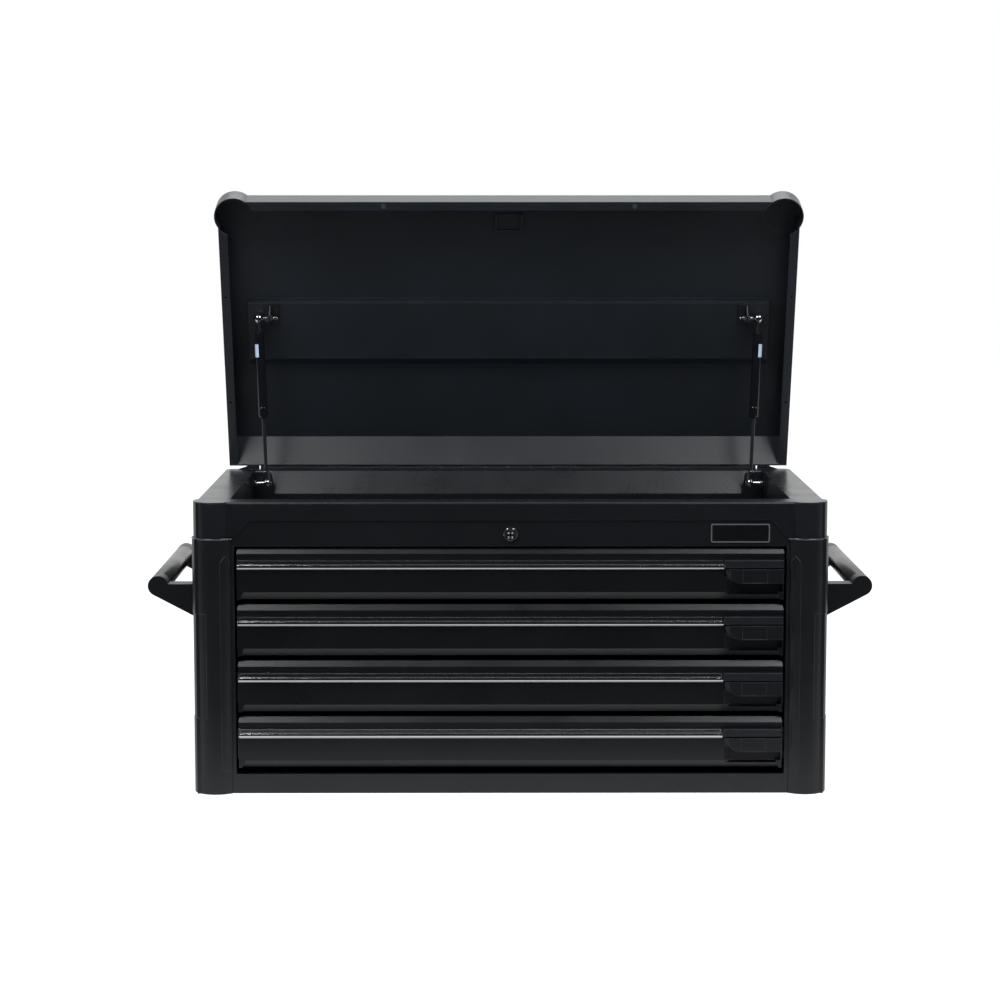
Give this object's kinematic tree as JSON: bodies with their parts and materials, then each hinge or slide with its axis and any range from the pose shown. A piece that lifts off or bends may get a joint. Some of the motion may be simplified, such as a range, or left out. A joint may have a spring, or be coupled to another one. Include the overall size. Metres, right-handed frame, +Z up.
{
  "type": "machinist tool chest",
  "caption": "Black steel top chest with a lift-up lid on gas struts over a till, full-width lever-latch drawers on telescopic slides and tubular side handles.",
  "frame": {"origin": "centre of the base, on the surface the chest stands on", "axes": "+X to the right seen from the front, over the two side handles; -Y to the front, the way the drawers open; +Z up"},
  "size_m": [1.0618, 0.4848, 0.8735],
  "materials": {
    "powder_black": "satin black powder coat on sheet steel",
    "satin_black": "smooth satin black",
    "moulded_black": "fine-grained moulded plastic",
    "zinc_steel": "bright zinc plate",
    "bright_chrome": "bright polished",
    "bumper_rubber": "matt"
  },
  "bodies": {
    "case": {"side_panel_left": "powder_black", "side_panel_right": "powder_black", "back_panel": "powder_black", "base_panel": "powder_black", "rim_frame": "powder_black", "fascia": "powder_black", "bottom_rail": "powder_black", "till_floor": "powder_black", "corner_sleeves": "moulded_black", "slide_uprights": "zinc_steel", "slide_channels": "zinc_steel", "name_plate": "satin_black", "handle_tubes": "satin_black", "handle_brackets": "moulded_black", "handle_bolts": "zinc_steel", "hinge_case_leaf": "zinc_steel", "hinge_pin": "zinc_steel", "strut_case_brackets": "zinc_steel", "lock_housing": "bright_chrome"},
    "lock": {"lock_plug": "satin_black", "lock_cam": "zinc_steel"},
    "lid": {"lid_shell": "powder_black", "lid_corner_caps": "moulded_black", "lid_channel": "powder_black", "strut_lid_brackets": "powder_black", "lid_striker": "powder_black", "lid_bumpers": "bumper_rubber", "hinge_lid_leaf": "zinc_steel"},
    "strut_rod_left": {"strut_rod_left": "zinc_steel"},
    "strut_cylinder_left": {"strut_cylinder_left": "satin_black"},
    "strut_rod_right": {"strut_rod_right": "zinc_steel"},
    "strut_cylinder_right": {"strut_cylinder_right": "satin_black"},
    "drawer_1": {"drawer_1_tray": "powder_black", "drawer_1_front": "powder_black", "drawer_1_trim": "bright_chrome", "drawer_1_latch_hood": "moulded_black", "drawer_1_slides": "zinc_steel"},
    "lever_1": {"drawer_1_lever": "moulded_black"},
    "mid_slides_1": {"drawer_1_mid_slides": "zinc_steel"},
    "drawer_2": {"drawer_2_tray": "powder_black", "drawer_2_front": "powder_black", "drawer_2_trim": "bright_chrome", "drawer_2_latch_hood": "moulded_black", "drawer_2_slides": "zinc_steel"},
    "lever_2": {"drawer_2_lever": "moulded_black"},
    "mid_slides_2": {"drawer_2_mid_slides": "zinc_steel"},
    "drawer_3": {"drawer_3_tray": "powder_black", "drawer_3_front": "powder_black", "drawer_3_trim": "bright_chrome", "drawer_3_latch_hood": "moulded_black", "drawer_3_slides": "zinc_steel"},
    "lever_3": {"drawer_3_lever": "moulded_black"},
    "mid_slides_3": {"drawer_3_mid_slides": "zinc_steel"},
    "drawer_4": {"drawer_4_tray": "powder_black", "drawer_4_front": "powder_black", "drawer_4_trim": "bright_chrome", "drawer_4_latch_hood": "moulded_black", "drawer_4_slides": "zinc_steel"},
    "lever_4": {"drawer_4_lever": "moulded_black"},
    "mid_slides_4": {"drawer_4_mid_slides": "zinc_steel"}
  },
  "joints": [
    {"name": "lid_hinge", "type": "hinge", "parent": "case", "child": "lid", "pos_m": [0, 0.2278, 0.4283], "axis": [1, 0, 0], "range_deg": [0, 71.5], "stiffness_Nm_per_rad": 2.2, "springref_deg": -171.89},
    {"name": "lock_turn", "type": "hinge", "parent": "case", "child": "lock", "pos_m": [0, -0.2215, 0.3813], "axis": [0, -1, 0], "range_deg": [0, 90]},
    {"name": "strut_left_swing", "type": "hinge", "parent": "case", "child": "strut_rod_left", "pos_m": [-0.384, 0.1495, 0.4133], "axis": [0.9973, -0.0571, 0.0472], "range_deg": [0, 82.79]},
    {"name": "strut_left_stroke", "type": "slide", "parent": "strut_rod_left", "child": "strut_cylinder_left", "axis": [0.0441, -0.0545, -0.9975], "range_m": [0, 0.08319]},
    {"name": "strut_right_swing", "type": "hinge", "parent": "case", "child": "strut_rod_right", "pos_m": [0.384, 0.1495, 0.4133], "axis": [0.9973, 0.0571, -0.0472], "range_deg": [0, 82.79]},
    {"name": "strut_right_stroke", "type": "slide", "parent": "strut_rod_right", "child": "strut_cylinder_right", "axis": [-0.0441, -0.0545, -0.9975], "range_m": [0, 0.08319]},
    {"name": "drawer_1_slide", "type": "slide", "parent": "case", "child": "drawer_1", "axis": [0, -1, 0], "range_m": [0, 0.37]},
    {"name": "mid_slides_1_slide", "type": "slide", "parent": "case", "child": "mid_slides_1", "axis": [0, -1, 0], "range_m": [0, 0.1852]},
    {"name": "lever_1_pull", "type": "hinge", "parent": "drawer_1", "child": "lever_1", "pos_m": [0.3492, -0.2265, 0.3392], "axis": [-1, 0, 0], "range_deg": [0, 15], "stiffness_Nm_per_rad": 0.3, "springref_deg": -22.92},
    {"name": "drawer_2_slide", "type": "slide", "parent": "case", "child": "drawer_2", "axis": [0, -1, 0], "range_m": [0, 0.37]},
    {"name": "mid_slides_2_slide", "type": "slide", "parent": "case", "child": "mid_slides_2", "axis": [0, -1, 0], "range_m": [0, 0.1852]},
    {"name": "lever_2_pull", "type": "hinge", "parent": "drawer_2", "child": "lever_2", "pos_m": [0.3492, -0.2265, 0.2565], "axis": [-1, 0, 0], "range_deg": [0, 15], "stiffness_Nm_per_rad": 0.3, "springref_deg": -22.92},
    {"name": "drawer_3_slide", "type": "slide", "parent": "case", "child": "drawer_3", "axis": [0, -1, 0], "range_m": [0, 0.37]},
    {"name": "mid_slides_3_slide", "type": "slide", "parent": "case", "child": "mid_slides_3", "axis": [0, -1, 0], "range_m": [0, 0.1852]},
    {"name": "lever_3_pull", "type": "hinge", "parent": "drawer_3", "child": "lever_3", "pos_m": [0.3492, -0.2265, 0.1738], "axis": [-1, 0, 0], "range_deg": [0, 15], "stiffness_Nm_per_rad": 0.3, "springref_deg": -22.92},
    {"name": "drawer_4_slide", "type": "slide", "parent": "case", "child": "drawer_4", "axis": [0, -1, 0], "range_m": [0, 0.37]},
    {"name": "mid_slides_4_slide", "type": "slide", "parent": "case", "child": "mid_slides_4", "axis": [0, -1, 0], "range_m": [0, 0.1852]},
    {"name": "lever_4_pull", "type": "hinge", "parent": "drawer_4", "child": "lever_4", "pos_m": [0.3492, -0.2265, 0.0911], "axis": [-1, 0, 0], "range_deg": [0, 15], "stiffness_Nm_per_rad": 0.3, "springref_deg": -22.92}
  ],
  "couplings": [
    {"joint": "strut_left_swing", "follows": "lid_hinge", "ratio": 1.1551},
    {"joint": "strut_left_stroke", "follows": "lid_hinge", "m_per_rad": 0.066503},
    {"joint": "strut_right_swing", "follows": "lid_hinge", "ratio": 1.1551},
    {"joint": "strut_right_stroke", "follows": "lid_hinge", "m_per_rad": 0.066503},
    {"joint": "mid_slides_1_slide", "follows": "drawer_1_slide", "ratio": 0.5},
    {"joint": "mid_slides_2_slide", "follows": "drawer_2_slide", "ratio": 0.5},
    {"joint": "mid_slides_3_slide", "follows": "drawer_3_slide", "ratio": 0.5},
    {"joint": "mid_slides_4_slide", "follows": "drawer_4_slide", "ratio": 0.5}
  ]
}
